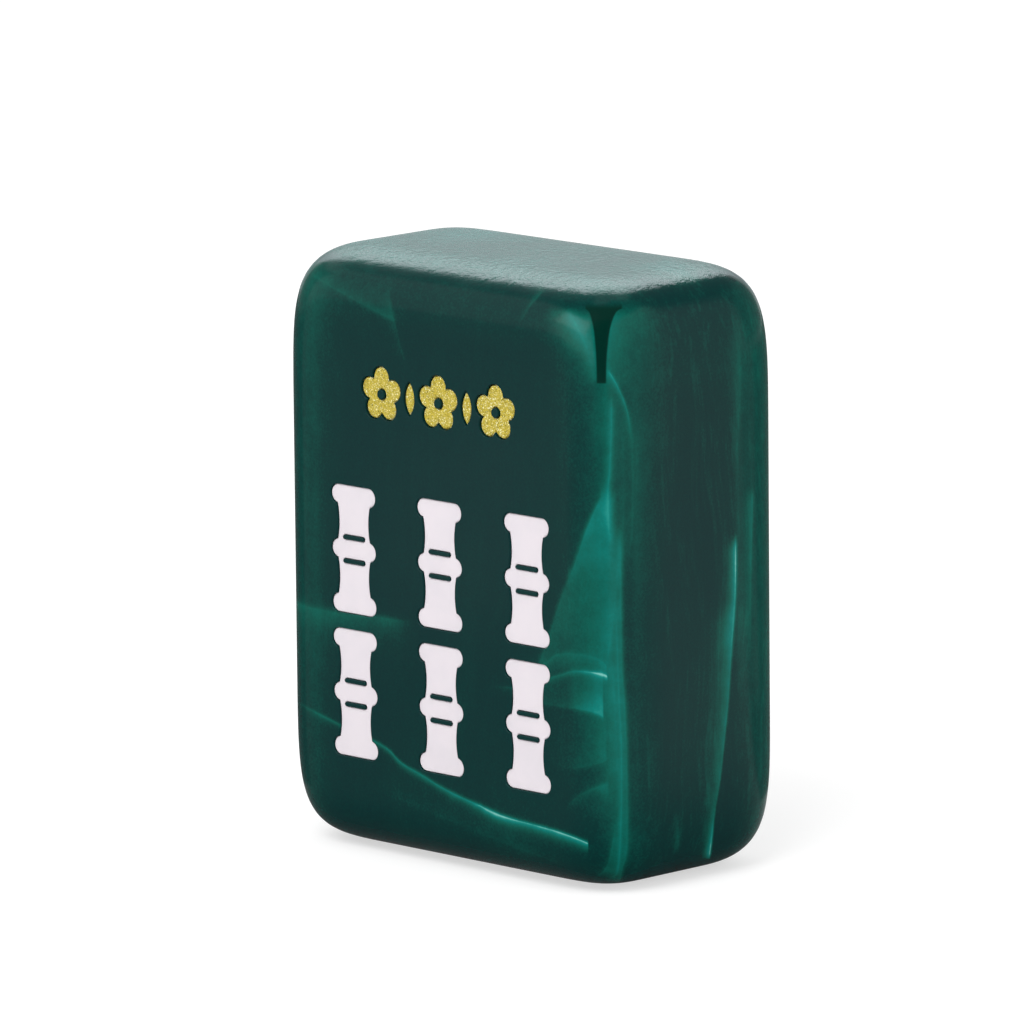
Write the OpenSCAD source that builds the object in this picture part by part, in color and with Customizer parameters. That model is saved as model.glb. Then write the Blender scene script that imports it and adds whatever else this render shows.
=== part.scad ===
/* [Tile] */
// Width of the tile across its face
tile_w = 23.5; // [22:0.1:28]
// Thickness of the tile from face to back
tile_d = 12.7; // [11:0.1:20]
// Height of the tile
tile_h = 30; // [28:0.5:40]

/* [Rounding] */
// Radius of the fillet that runs round the face and round the back
edge_r = 2.8; // [1:0.1:3.7]
// Radius of the four corners of the face
corner_r = 3.8; // [2.9:0.1:6]

/* [Engraving] */
// Depth of the engraved pockets
engraving_depth = 0.6; // [0.3:0.05:1]
// Distance from the face down to the top of each fill
fill_drop = 0.08; // [0.02:0.01:0.2]
// Clearance between a fill and the wall of its pocket
fill_gap = 0.01; // [0.005:0.005:0.03]

/* [Layout of the face] */
// How far the sticks and the blossoms together sit below the middle of the face
layout_drop = 0.3; // [0:0.1:1]
// Gap between the sticks and the blossom row
row_rise = 3.4; // [2:0.1:4]

/* [Bamboo figure] */
// Gap between two columns of sticks
column_gap = 2.9; // [2:0.1:3.4]
// Gap between the upper and the lower row of sticks
row_gap = 0.8; // [0.4:0.1:1.6]
// Length of a stick
stick_l = 6.4; // [5:0.1:6.6]
// Width of a stick across its knots
stick_w = 3.1; // [2.8:0.1:3.6]
// Height of each of the three knots of a stick
knot_h = 0.95; // [0.8:0.05:1.2]
// Width of a stick where the cane leaves a knot
cane_w = 2.6; // [2.3:0.05:2.75]
// Width of a stick at the middle of the hollow between two knots
waist_w = 2.1; // [1.8:0.05:2.2]
// Length of the slots beside the middle knot
slot_l = 1.5; // [1:0.1:1.7]
// Width of the slots beside the middle knot
slot_w = 0.24; // [0.18:0.02:0.36]

/* [Blossom row] */
// Gap between two blossoms, which a bud fills
blossom_gap = 1.15; // [0.8:0.05:1.8]
// Radius of a petal
petal_r = 0.56; // [0.52:0.01:0.62]
// Distance from the middle of a blossom to the middle of a petal
petal_reach = 0.84; // [0.78:0.01:0.86]
// Number of petals of a blossom
petal_count = 5; // [5, 6]
// Radius of the bare dot at the middle of a blossom
eye_r = 0.26; // [0.15:0.01:0.35]
// Length of a bud between two blossoms
bud_l = 1.7; // [1.2:0.1:2.2]
// Space that is left on each side of a bud
bud_space = 0.22; // [0.15:0.01:0.3]

/* [Hidden] */
$fn = 64;
// how far a cutter runs past the face
overrun = 0.5;

// distance between two knots, and the arc that hollows the cane between them
knot_pitch = (stick_l - knot_h) / 2;
hollow = (cane_w - waist_w) / 2;
hollow_r = (knot_pitch * knot_pitch / 4 + hollow * hollow) / (2 * hollow);

// width of a bud, and the arc of its two flanks
bud_w = blossom_gap - 2 * bud_space;
bud_r = (bud_l * bud_l + bud_w * bud_w) / (4 * bud_w);

// places of the fills on the face, across and up
column_pitch = stick_w + column_gap;
row_pitch = stick_l + row_gap;
figure_h = stick_l + row_pitch;
blossom_w = 2 * (petal_reach + petal_r);
blossom_pitch = blossom_w + blossom_gap;
layout_h = figure_h + row_rise + blossom_w;
figure_z = (tile_h - layout_h + figure_h) / 2 - layout_drop;
row_z = (tile_h + layout_h - blossom_w) / 2 - layout_drop;
stick_places = [for (row = [1, -1]) for (column = [-1, 0, 1])
    [column * column_pitch, figure_z + row * row_pitch / 2]];
blossom_places = [for (column = [-1, 0, 1]) [column * blossom_pitch, row_z]];
bud_places = [for (side = [-1, 1]) [side * blossom_pitch / 2, row_z]];

// Half section of the block, from its middle out to a rounded rim
module rim_section(reach) {
    intersection() {
        translate([0, -tile_d / 2]) square([reach, tile_d]);
        union() {
            translate([0, -tile_d / 2]) square([reach - edge_r, tile_d]);
            translate([0, edge_r - tile_d / 2]) square([reach, tile_d - 2 * edge_r]);
            for (side = [-1, 1])
                translate([reach - edge_r, side * (tile_d / 2 - edge_r)]) circle(r = edge_r);
        }
    }
}

// Straight length of the block, with a rounded rim on both sides
module straight_run(span, length) {
    rotate([90, 0, 0]) linear_extrude(length, center = true) {
        rim_section(span / 2);
        mirror([1, 0]) rim_section(span / 2);
    }
}

// One corner of the block: the rim turned through a right angle
module turned_corner() {
    translate([tile_w / 2 - corner_r, tile_h / 2 - corner_r])
        rotate_extrude(angle = 90) rim_section(corner_r);
}

// Plain block, standing on its base with the face towards the front
module block() {
    translate([0, 0, tile_h / 2]) rotate([90, 0, 0]) union() {
        straight_run(tile_w, tile_h - 2 * corner_r);
        rotate([0, 0, 90]) straight_run(tile_h, tile_w - 2 * corner_r);
        for (across = [0, 1]) for (up = [0, 1])
            mirror([across, 0, 0]) mirror([0, up, 0]) turned_corner();
    }
}

// Bar with round ends, lying across the stick
module round_bar(length, height) {
    square([length - height, height], center = true);
    for (side = [-1, 1]) translate([side * (length - height) / 2, 0]) circle(d = height);
}

// Outline of a stick; grow widens it all round, to cut the pocket that it sits in
module stick_outline(grow) {
    difference() {
        union() {
            for (knot = [-1, 0, 1])
                translate([0, knot * knot_pitch]) round_bar(stick_w + 2 * grow, knot_h + 2 * grow);
            for (half = [-1, 1]) translate([0, half * knot_pitch / 2]) cane_outline(grow);
        }
        for (half = [-1, 1])
            translate([0, half * (knot_h + slot_w) / 2]) round_bar(slot_l - 2 * grow, slot_w - 2 * grow);
    }
}

// Cane between two knots, hollowed on both flanks
module cane_outline(grow) {
    difference() {
        square([cane_w, knot_pitch], center = true);
        for (side = [-1, 1])
            translate([side * (waist_w / 2 + hollow_r), 0]) circle(r = hollow_r - grow);
    }
}

// Outline of a blossom: round petals about a bare dot
module blossom_outline(grow) {
    difference() {
        union() {
            circle(r = petal_reach);
            for (petal = [0 : petal_count - 1])
                rotate([0, 0, 90 + petal * 360 / petal_count]) translate([petal_reach, 0])
                    circle(r = petal_r + grow);
        }
        circle(r = eye_r - grow);
    }
}

// Outline of a bud: two arcs that meet in points
module bud_outline(grow) {
    intersection_for (side = [-1, 1])
        translate([side * (bud_r - bud_w / 2), 0]) circle(r = bud_r + grow);
}

// Stands an outline on the floor of its pocket, facing the front
module on_floor(place, height) {
    translate([place[0], engraving_depth - tile_d / 2, place[1]])
        rotate([90, 0, 0]) linear_extrude(height) children();
}

// Every pocket of the face, as one cutter
module pockets() {
    cut = engraving_depth + overrun;
    for (place = stick_places) on_floor(place, cut) stick_outline(fill_gap);
    for (place = blossom_places) on_floor(place, cut) blossom_outline(fill_gap);
    for (place = bud_places) on_floor(place, cut) bud_outline(fill_gap);
}

// Cast block with its engraved pockets
module tile_body() {
    color("#1c4a46") difference() {
        block();
        pockets();
    }
}

// Enamel in the pocket of one stick
module stick_fill(place) {
    color("#ece6ea") on_floor(place, engraving_depth - fill_drop) stick_outline(0);
}

// Glitter enamel in the pocket of one blossom
module blossom_fill(place) {
    color("#cdb84a") on_floor(place, engraving_depth - fill_drop) blossom_outline(0);
}

// Glitter enamel in the pocket of one bud
module bud_fill(place) {
    color("#cdb84a") on_floor(place, engraving_depth - fill_drop) bud_outline(0);
}

tile_body();
stick_fill(stick_places[0]);  // stick_top_left
stick_fill(stick_places[1]);  // stick_top_middle
stick_fill(stick_places[2]);  // stick_top_right
stick_fill(stick_places[3]);  // stick_bottom_left
stick_fill(stick_places[4]);  // stick_bottom_middle
stick_fill(stick_places[5]);  // stick_bottom_right
blossom_fill(blossom_places[0]);  // blossom_left
blossom_fill(blossom_places[1]);  // blossom_middle
blossom_fill(blossom_places[2]);  // blossom_right
bud_fill(bud_places[0]);  // bud_left
bud_fill(bud_places[1]);  // bud_right
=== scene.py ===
"""Looks of a mahjong tile: a cast resin block with paint in its engraved marks."""
import logging
from dataclasses import dataclass, field
from enum import Enum
from math import acos, atan2, cos, degrees, hypot, pi, radians, sin, sqrt
from typing import Any, Iterable, NamedTuple, Sequence, Union

import bpy
from mathutils import Matrix, Vector
from mathutils.geometry import tessellate_polygon


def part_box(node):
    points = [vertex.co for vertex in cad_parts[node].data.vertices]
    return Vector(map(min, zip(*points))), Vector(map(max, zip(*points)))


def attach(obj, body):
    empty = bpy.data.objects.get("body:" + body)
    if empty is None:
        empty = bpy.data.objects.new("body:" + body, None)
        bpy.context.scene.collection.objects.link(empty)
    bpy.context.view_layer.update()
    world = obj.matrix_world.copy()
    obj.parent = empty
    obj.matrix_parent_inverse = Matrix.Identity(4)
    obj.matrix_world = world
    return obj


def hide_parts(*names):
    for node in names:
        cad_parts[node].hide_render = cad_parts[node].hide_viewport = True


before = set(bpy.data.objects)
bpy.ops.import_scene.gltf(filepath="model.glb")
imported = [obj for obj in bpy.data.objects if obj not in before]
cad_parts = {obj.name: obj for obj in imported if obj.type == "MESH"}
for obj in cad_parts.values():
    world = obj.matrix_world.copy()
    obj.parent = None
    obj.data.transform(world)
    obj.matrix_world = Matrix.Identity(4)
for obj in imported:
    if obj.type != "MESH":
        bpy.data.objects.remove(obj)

log = logging.getLogger("tile")

Pair = tuple[float, float]
Triple = tuple[float, float, float]
Path = tuple[Pair, ...]
Corner = tuple[Triple, Triple]
Value = Union["Wire", float]

MM = 0.001
BODY = "root"
IMAGE_WIDTH = 1023
SENSOR_WIDTH = 36.0
SAME_PLACE = 5  # decimals, in millimetres, in which two points of a mesh have to agree
LEAST_SPAN = 0.001  # height given to a curve that is level, in millimetres
FLAT_FRONT: Triple = (0.0, -1.0, 0.0)
FLAT_BACK: Triple = (0.0, 1.0, 0.0)
WHITE: Triple = (1.0, 1.0, 1.0)
BLACK: Triple = (0.0, 0.0, 0.0)
DIAGONAL = sqrt(0.5)


def cos_sin(angle: float) -> Pair:
    """Cosine and sine of an angle in degrees."""
    return cos(radians(angle)), sin(radians(angle))


# Node expressions

class Wire:
    """One output of a shader node, used as a value in an expression."""

    def __init__(self, graph: "Graph", socket: bpy.types.NodeSocket) -> None:
        """Keep the socket and the graph that it belongs to."""
        self.graph = graph
        self.socket = socket

    def __add__(self, other: Value) -> "Wire":
        """Sum of two values."""
        return self.graph.math("ADD", self, other)

    def __radd__(self, other: Value) -> "Wire":
        """Sum with a number on the left."""
        return self.graph.math("ADD", other, self)

    def __sub__(self, other: Value) -> "Wire":
        """Difference of two values."""
        return self.graph.math("SUBTRACT", self, other)

    def __rsub__(self, other: Value) -> "Wire":
        """Difference from a number on the left."""
        return self.graph.math("SUBTRACT", other, self)

    def __mul__(self, other: Value) -> "Wire":
        """Product of two values."""
        return self.graph.math("MULTIPLY", self, other)

    def __rmul__(self, other: Value) -> "Wire":
        """Product with a number on the left."""
        return self.graph.math("MULTIPLY", other, self)

    def __truediv__(self, other: Value) -> "Wire":
        """Quotient of two values."""
        return self.graph.math("DIVIDE", self, other)

    def __rtruediv__(self, other: Value) -> "Wire":
        """Quotient of a number on the left."""
        return self.graph.math("DIVIDE", other, self)

    def __pow__(self, other: Value) -> "Wire":
        """Power of a value."""
        return self.graph.math("POWER", self, other)

    def __neg__(self) -> "Wire":
        """The value with its sign turned."""
        return self.graph.math("MULTIPLY", self, -1.0)

    def at_least(self, other: Value) -> "Wire":
        """The larger of two values."""
        return self.graph.math("MAXIMUM", self, other)

    def at_most(self, other: Value) -> "Wire":
        """The smaller of two values."""
        return self.graph.math("MINIMUM", self, other)

    def decay(self) -> "Wire":
        """Falls from 1 towards 0 as the value grows from 0."""
        return self.graph.math("EXPONENT", -self)

    def size(self) -> "Wire":
        """The value without its sign."""
        return self.graph.math("ABSOLUTE", self)

    def rise(self, low: float, high: float) -> "Wire":
        """Smooth step from 0 to 1.

        Args:
            low: Value at which the step starts.
            high: Value at which the step is complete; below low, the step falls instead.

        Returns:
            The step as a value between 0 and 1.
        """
        node = self.graph.add(
            "ShaderNodeMapRange", {"interpolation_type": "SMOOTHSTEP"},
            {"Value": self, "From Min": min(low, high), "From Max": max(low, high)})
        step = Wire(self.graph, node.outputs["Result"])
        return 1.0 - step if high < low else step


class Arrow(Wire):
    """A vector output, whose sums and products go through Vector Math."""

    def __add__(self, other: Union["Arrow", Triple]) -> "Arrow":
        """Sum of two vectors."""
        return self.graph.vector("ADD", self, other)

    def __mul__(self, other: Union["Arrow", Triple]) -> "Arrow":
        """Product of two vectors, one axis at a time."""
        return self.graph.vector("MULTIPLY", self, other)

    def parts(self) -> tuple[Wire, Wire, Wire]:
        """The three axes as separate values."""
        node = self.graph.add("ShaderNodeSeparateXYZ", {}, {"Vector": self})
        return tuple(Wire(self.graph, out) for out in node.outputs)


class Relief(NamedTuple):
    """Noise that shapes a skin: waves per millimetre, finer layers, their weight, height in mm."""

    scale: float
    layers: float
    weight: float
    height: float

    def waves(self, graph: "Graph", place: Arrow) -> Wire:
        """The noise alone, around 0.5."""
        return graph.noise(place, self.scale, self.layers, self.weight)


class Graph:
    """The node tree of one material."""

    def __init__(self, name: str, holder: bpy.types.ID | None = None) -> None:
        """Start an empty tree.

        Args:
            name: Name of the material.
            holder: World that gets the tree in place of a new material.
        """
        self.material = holder or bpy.data.materials.new(name)
        self.material.use_nodes = True
        self.tree = self.material.node_tree
        self.tree.nodes.clear()

    def add(self, kind: str, settings: dict[str, Any] | None = None,
            inputs: dict[str | int, Any] | None = None) -> bpy.types.Node:
        """Add one node.

        Args:
            kind: Blender's name of the node type.
            settings: Attributes, and "stops" of a ramp or "course" of a curve, set first.
            inputs: Values, wires or nodes by socket name or number.

        Returns:
            The new node.
        """
        node = self.tree.nodes.new(kind)
        for key, value in (settings or {}).items():
            if key == "stops":
                self._set_stops(node.color_ramp, value)
            elif key == "course":
                self._set_course(node.mapping, value)
            else:
                setattr(node, key, value)
        for key, value in (inputs or {}).items():
            self.plug(node.inputs[key], value)
        return node

    def plug(self, socket: bpy.types.NodeSocket, value: Any) -> None:
        """Link or set one input.

        Args:
            socket: The input.
            value: A wire, a node whose first output is meant, or the input's own value.
        """
        if isinstance(value, Wire):
            self.tree.links.new(value.socket, socket)
        elif isinstance(value, bpy.types.Node):
            self.tree.links.new(value.outputs[0], socket)
        elif socket.type == "RGBA" and len(value) == 3:
            socket.default_value = (*value, 1.0)
        else:
            socket.default_value = value

    def math(self, operation: str, *terms: Value) -> Wire:
        """Math node of one operation on its terms."""
        node = self.add("ShaderNodeMath", {"operation": operation}, dict(enumerate(terms)))
        return Wire(self, node.outputs[0])

    def vector(self, operation: str, *terms: Union[Arrow, Triple]) -> Arrow:
        """Vector Math node of one operation on its terms."""
        node = self.add("ShaderNodeVectorMath", {"operation": operation}, dict(enumerate(terms)))
        return Arrow(self, node.outputs[0])

    def place(self) -> Arrow:
        """Place on the object in millimetres, in the frame of the part."""
        node = self.add("ShaderNodeTexCoord")
        return Arrow(self, node.outputs["Object"]) * (1 / MM, 1 / MM, 1 / MM)

    def rays(self, *kinds: str) -> Wire:
        """1 for rays of the given kinds, such as Camera or Glossy, and 0 for the rest."""
        paths = self.add("ShaderNodeLightPath")
        return sum((Wire(self, paths.outputs["Is %s Ray" % kind]) for kind in kinds), 0.0)

    def noise(self, place: Arrow, scale: float, layers: float = 2.0, weight: float = 0.5) -> Wire:
        """Fractal noise.

        Args:
            place: Where the noise is read, in millimetres.
            scale: Waves per millimetre.
            layers: Number of finer layers.
            weight: Weight of the finer layers.

        Returns:
            A value around 0.5.
        """
        node = self.add(
            "ShaderNodeTexNoise", {"noise_dimensions": "3D"},
            {"Vector": place, "Scale": scale, "Detail": layers, "Roughness": weight})
        return Wire(self, node.outputs["Fac"])

    def ramp(self, value: Wire, stops: Iterable[tuple[float, Triple]]) -> Wire:
        """Colours along a value from 0 to 1, with the place and colour of each stop in order."""
        node = self.add("ShaderNodeValToRGB", {"stops": tuple(stops)}, {"Fac": value})
        return Wire(self, node.outputs["Color"])

    def mix(self, share: Value, first: Any, second: Any) -> Wire:
        """Colour between two colours."""
        node = self.add("ShaderNodeMix", {"data_type": "RGBA"}, {0: share, 6: first, 7: second})
        return Wire(self, node.outputs[2])

    def follow(self, along: Wire, path: Path) -> Wire:
        """Smooth curve through a few points.

        Args:
            along: Place along the curve.
            path: Points (along, across) in rising order of the first number.

        Returns:
            The across value of the curve.
        """
        first, last = path[0][0], path[-1][0]
        low, high = min(p[1] for p in path), max(p[1] for p in path)
        span = max(high - low, LEAST_SPAN)
        course = [((p[0] - first) / (last - first), (p[1] - low) / span) for p in path]
        share = ((along - first) / (last - first)).at_least(0.0).at_most(1.0)
        node = self.add("ShaderNodeFloatCurve", {"course": course}, {"Value": share})
        return Wire(self, node.outputs["Value"]) * span + low

    def bump(self, height: Wire, depth: float, normal: Wire | None = None) -> Wire:
        """Bump that feeds a normal.

        Args:
            height: Height from 0 to 1.
            depth: Height of 1, in millimetres.
            normal: Normal under this bump.

        Returns:
            The bent normal.
        """
        inputs = {"Height": height, "Distance": depth * MM, "Strength": 1.0}
        if normal is not None:
            inputs["Normal"] = normal
        return Wire(self, self.add("ShaderNodeBump", {}, inputs).outputs["Normal"])

    def skin(self, place: Arrow, relief: Relief, normal: Wire | None = None) -> Wire:
        """Normal bent by a relief, over the normal under it."""
        return self.bump(relief.waves(self, place), relief.height, normal)

    def close(self, shader: bpy.types.Node) -> bpy.types.Material:
        """Send the last shader to the output and hand out the finished material."""
        self.add("ShaderNodeOutputMaterial", {}, {"Surface": shader})
        return self.material

    @staticmethod
    def _set_stops(ramp: bpy.types.ColorRamp, stops: Sequence[tuple[float, Triple]]) -> None:
        """Give a colour ramp its stops.

        Args:
            ramp: The ramp.
            stops: Place and colour of each stop.
        """
        while len(ramp.elements) < len(stops):
            ramp.elements.new(1.0)
        for element, (where, colour) in zip(ramp.elements, stops):
            element.position = where
            element.color = (*colour, 1.0)

    @staticmethod
    def _set_course(mapping: bpy.types.CurveMapping, course: Sequence[Pair]) -> None:
        """Give a float curve its points.

        Args:
            mapping: The curve.
            course: Its points, between 0 and 1.
        """
        points = mapping.curves[0].points
        for _ in range(len(course) - len(points)):
            points.new(0.5, 0.5)
        for point, where in zip(points, course):
            point.location = where
        mapping.update()


# Finishes

class Side(Enum):
    """Which part of the surface a pearl veil is seen on."""

    FRONT = "front"
    EDGE = "edge"
    RIGHT = "right"


class Course(Enum):
    """Which way a pearl veil runs."""

    ACROSS = "across"
    UP = "up"


@dataclass(frozen=True)
class Veil:
    """A thin sheet of pearl pigment that meets the surface in a line; some veils paint glow and
    highlight instead.

    The path has points (along, beside) in millimetres. One flank of the line is crisp; on the
    other, at larger coordinates where fades_to is 1 and at smaller ones where it is -1, the
    pigment fades away under the surface. Strength holds the pigment at the first and at the last
    point, and end_fades the lengths over which the two ends die away.
    """

    path: Path
    strength: Pair
    fade: float
    fades_to: int = -1
    crisp: float = 0.06
    end_fades: Pair = (1.0, 1.0)

    def amount(self, graph: Graph, along: Wire, beside: Wire) -> Wire:
        """Share of pigment at the surface.

        Args:
            graph: Tree that the nodes go in.
            along: Place along the veil, in millimetres.
            beside: Place across it, in millimetres.

        Returns:
            The share, from 0 up.
        """
        first, last = self.path[0][0], self.path[-1][0]
        off = (beside - graph.follow(along, self.path)) * float(self.fades_to)
        spread = off.at_least(0.0) / self.fade + (-off).at_least(0.0) / self.crisp
        start, end = self.end_fades
        ends = along.rise(first - start, first + start) * along.rise(last + end, last - end)
        weak, strong = self.strength
        share = ((along - first) / (last - first)).at_least(0.0).at_most(1.0)
        return spread.decay() * ends * (share * (strong - weak) + weak)


# Pearl veils of the photograph, by the part of the surface and the way they run
# Some of these stand for light: the hazes and glows carry painted glow, and the bright rim band a
# painted highlight.
FRONT_ACROSS = (
    # long streak that falls from the left rim and ends bright near the right rim
    Veil(((-9.7, 6.9), (-6.6, 6.2), (-3.9, 5.6), (-2.7, 4.95), (-1.3, 4.55), (0.1, 4.12),
         (1.45, 3.82), (2.7, 3.6), (4.2, 3.3)), (0.14, 0.55), 0.14, crisp=0.07,
         end_fades=(0.8, 1.2)),
    Veil(((2.7, 3.6), (4.2, 3.3), (6.8, 3.15), (8.2, 3.05), (10.1, 2.7)), (0.72, 0.95), 0.15,
         crisp=0.06, end_fades=(1.0, 0.06)),
    Veil(((0.0, 4.3), (4.1, 3.2), (6.9, 3.0), (10.0, 2.6)), (0.02, 0.09), 0.5, crisp=0.1,
         end_fades=(2.0, 0.8)),
    Veil(((-4.3, 3.4), (3.1, 2.2), (8.2, 1.4)), (0.03, 0.05), 0.8, 1, 0.2, (2.0, 1.5)),
    # soft band on the left
    Veil(((-10.2, 12.05), (-7.4, 11.9), (-4.5, 12.05), (-2.5, 12.1)), (0.17, 0.14), 0.9, crisp=0.15,
         end_fades=(0.4, 1.2)),
    # thin lines that end in front of the right rim
    Veil(((3.9, 9.7), (5.6, 9.9), (7.0, 10.4), (8.3, 10.85), (9.7, 11.2), (11.5, 11.05)),
         (0.07, 0.24), 0.18, crisp=0.07, end_fades=(0.8, 0.08)),
    Veil(((9.4, 11.2), (10.4, 11.2), (11.5, 11.0)), (0.1, 0.75), 0.09, end_fades=(0.6, 0.08)),
    Veil(((6.8, 11.0), (7.5, 11.45), (8.4, 11.9), (10.1, 12.0), (11.45, 11.5)), (0.08, 0.14), 0.3,
         crisp=0.08, end_fades=(0.4, 0.1)),
    # sheet under the wavy line, with a crisp lower edge
    Veil(((4.9, 9.35), (7.0, 9.3), (9.7, 9.35), (11.2, 9.05)), (0.04, 0.1), 1.5, 1, 0.1,
         (0.8, 0.07)),
    Veil(((8.6, 9.35), (9.7, 9.35), (11.2, 9.05)), (0.0, 0.36), 1.0, 1, 0.1, (0.5, 0.07)),
    Veil(((7.5, 6.2), (9.7, 6.5), (11.4, 6.9)), (0.0, 0.11), 2.6, 1, 0.1, (0.8, 0.12)),
    Veil(((8.6, 4.3), (9.6, 5.1), (11.0, 5.6), (11.5, 5.7)), (0.03, 0.16), 0.4, crisp=0.12,
         end_fades=(0.6, 0.1)),
    # faint threads near the top
    Veil(((-8.5, 28.5), (-6.0, 27.8), (-3.0, 27.0)), (0.06, 0.1), 0.35, 1, 0.1, (1.0, 0.8)),
    Veil(((5.8, 27.9), (6.5, 28.7), (7.3, 29.3)), (0.06, 0.14), 0.2, 1, 0.08, (0.5, 0.4)),
)
FRONT_UP = (
    # wedge that leans against the right rim, and the haze at its foot
    Veil(((11.1, 6.8), (12.5, 7.5), (14.6, 8.4), (15.6, 8.92)), (0.1, 0.16), 3.2, 1, 0.12,
         (0.5, 1.0)),
    Veil(((15.6, 8.92), (16.7, 9.5), (18.2, 10.2), (19.8, 11.2)), (0.16, 0.42), 3.5, 1, 0.12,
         (1.0, 0.8)),
    Veil(((4.0, 11.7), (9.0, 11.7), (14.0, 11.7)), (0.05, 0.16), 1.3, crisp=1.5,
         end_fades=(1.5, 1.5)),
    # painted reflection: haze beside the right rim, above the wedge, where the rounded rim mirrors
    # a lamp
    Veil(((13.0, 11.3), (20.0, 11.0), (28.5, 10.8)), (0.07, 0.06), 2.2, crisp=3.0,
         end_fades=(2.0, 1.0)),
    # painted glow: green cast along the left rim, where light shines through the thinner resin
    Veil(((-2.0, -8.7), (15.0, -8.6), (32.0, -8.7)), (0.05, 0.09), 0.8, 1, 6.0),
    # faint thread near the top
    Veil(((24.9, -2.1), (26.8, -2.9), (28.2, -3.3)), (0.03, 0.1), 0.5, crisp=0.12,
         end_fades=(0.8, 0.6)),
)
EDGE_UP = (
    # bright band along the rim between the front and the right side, in overlapping sheets; pearl
    # pigment with a painted highlight
    Veil(((-0.5, 4.0), (1.4, 4.3), (2.9, 4.54), (6.9, 4.54), (9.8, 4.45), (11.6, 4.34),
         (17.5, 4.34)), (0.16, 0.32), 0.7, crisp=0.1, end_fades=(1.0, 1.2)),
    Veil(((3.0, 4.0), (4.9, 4.18), (6.9, 4.08), (8.9, 4.02), (11.3, 3.93)), (0.05, 0.18), 0.3,
         crisp=0.25, end_fades=(1.0, 0.6)),
    Veil(((11.6, 3.6), (12.8, 3.8), (15.3, 4.1), (17.5, 4.27)), (0.1, 0.06), 0.2, crisp=0.1),
    Veil(((17.8, 3.85), (19.7, 3.74), (21.1, 3.84), (23.1, 3.93), (24.4, 3.95)), (0.28, 0.3), 0.16,
         crisp=0.12, end_fades=(0.8, 0.6)),
    Veil(((1.0, 3.15), (1.6, 3.6), (2.5, 3.8), (3.2, 3.92)), (0.1, 0.14), 0.6, 1, 0.06, (0.3, 0.6)),
    # painted glow on both sides of the dark gap in the upper corner
    Veil(((25.1, 3.13), (25.7, 3.09), (26.4, 2.95), (27.1, 2.75), (28.2, 2.2), (28.6, 2.0)),
         (0.0, 0.44), 0.55, crisp=0.55, end_fades=(0.6, 0.3)),
    # thin bright line, thin threads and soft sheets inside the band
    Veil(((0.9, 3.9), (3.0, 4.22), (7.0, 4.3), (10.0, 4.2), (14.0, 4.1)), (0.2, 0.12), 0.09,
         end_fades=(0.6, 1.5)),
    Veil(((17.3, 4.75), (20.0, 4.95), (23.3, 4.9)), (0.07, 0.05), 0.12, end_fades=(1.5, 1.0)),
    Veil(((16.5, 4.3), (20.5, 4.5), (23.5, 4.45)), (0.12, 0.07), 0.9, crisp=0.25,
         end_fades=(1.5, 1.0)),
    Veil(((22.0, 3.72), (25.4, 3.7), (27.2, 3.82), (28.3, 4.05), (28.7, 4.4)), (0.05, 0.16), 1.8, 1,
         0.6, (1.5, 0.3)),
    Veil(((22.7, 4.85), (23.5, 4.79), (24.2, 4.63), (25.0, 4.33), (25.9, 3.85)), (0.1, 0.44), 0.14,
         crisp=0.05, end_fades=(0.5, 0.2)),
)
RIGHT_UP = (
    # tall leaf on the right side
    Veil(((0.95, 0.4), (3.1, 0.7), (5.1, 1.15), (6.9, 1.45), (8.9, 1.75), (10.9, 1.95),
         (13.0, 2.2)), (0.12, 0.42), 0.55, crisp=0.06, end_fades=(0.3, 1.2)),
    Veil(((11.8, 2.05), (13.0, 2.2), (14.8, 2.33), (16.4, 2.3)), (0.4, 0.12), 0.45, crisp=0.06,
         end_fades=(1.2, 0.4)),
    Veil(((13.2, 2.2), (14.6, 2.31), (16.6, 2.35)), (0.2, 0.95), 0.16, crisp=0.06,
         end_fades=(0.8, 0.5)),
    Veil(((1.0, 0.4), (1.8, 0.52), (3.1, 0.7)), (0.95, 0.16), 0.18, crisp=0.05,
         end_fades=(0.3, 0.8)),
    # fainter thread beside it
    Veil(((10.0, 3.3), (15.3, 3.4), (16.6, 3.46), (18.8, 3.55)), (0.0, 0.26), 0.26, crisp=0.07,
         end_fades=(1.5, 0.6)),
    # hazes in the middle, along the front rim and along the back rim: pearl haze with painted glow;
    # the middle one fades in between 4 and 14 mm up, so the side is darker low down
    Veil(((9.0, 2.6), (20.0, 2.5), (31.0, 2.7)), (0.08, 0.05), 4.0, 1, 0.5, (5.0, 1.0)),
    Veil(((1.0, -4.6), (12.0, -4.6), (24.0, -4.4)), (0.05, 0.07), 1.6, 1, 1.0, (1.0, 2.0)),
    Veil(((-1.0, 4.5), (14.0, 4.7), (31.0, 4.4)), (0.14, 0.09), 1.3, crisp=0.8),
    # short faint threads, and a haze on the upper part of the front rim
    Veil(((21.1, 2.5), (22.4, 2.6), (24.5, 2.7), (26.5, 2.7)), (0.04, 0.08), 0.3, crisp=0.1),
    Veil(((5.3, -3.8), (6.6, -3.84), (8.0, -3.9)), (0.06, 0.05), 0.25, 1, 0.08, (0.6, 0.6)),
    Veil(((1.9, -1.78), (2.8, -1.8), (3.8, -1.8)), (0.07, 0.04), 0.25, crisp=0.08,
         end_fades=(0.4, 0.6)),
    Veil(((15.0, -4.6), (19.0, -4.5), (23.0, -4.6)), (0.03, 0.05), 1.6, 1, 0.3, (2.0, 2.0)),
)
RIGHT_ACROSS = (
    # painted glow: haze on the upper part
    Veil(((-7.0, 25.5), (0.0, 25.2), (5.0, 25.0)), (0.06, 0.03), 6.0, 1, 1.6),
)
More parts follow.
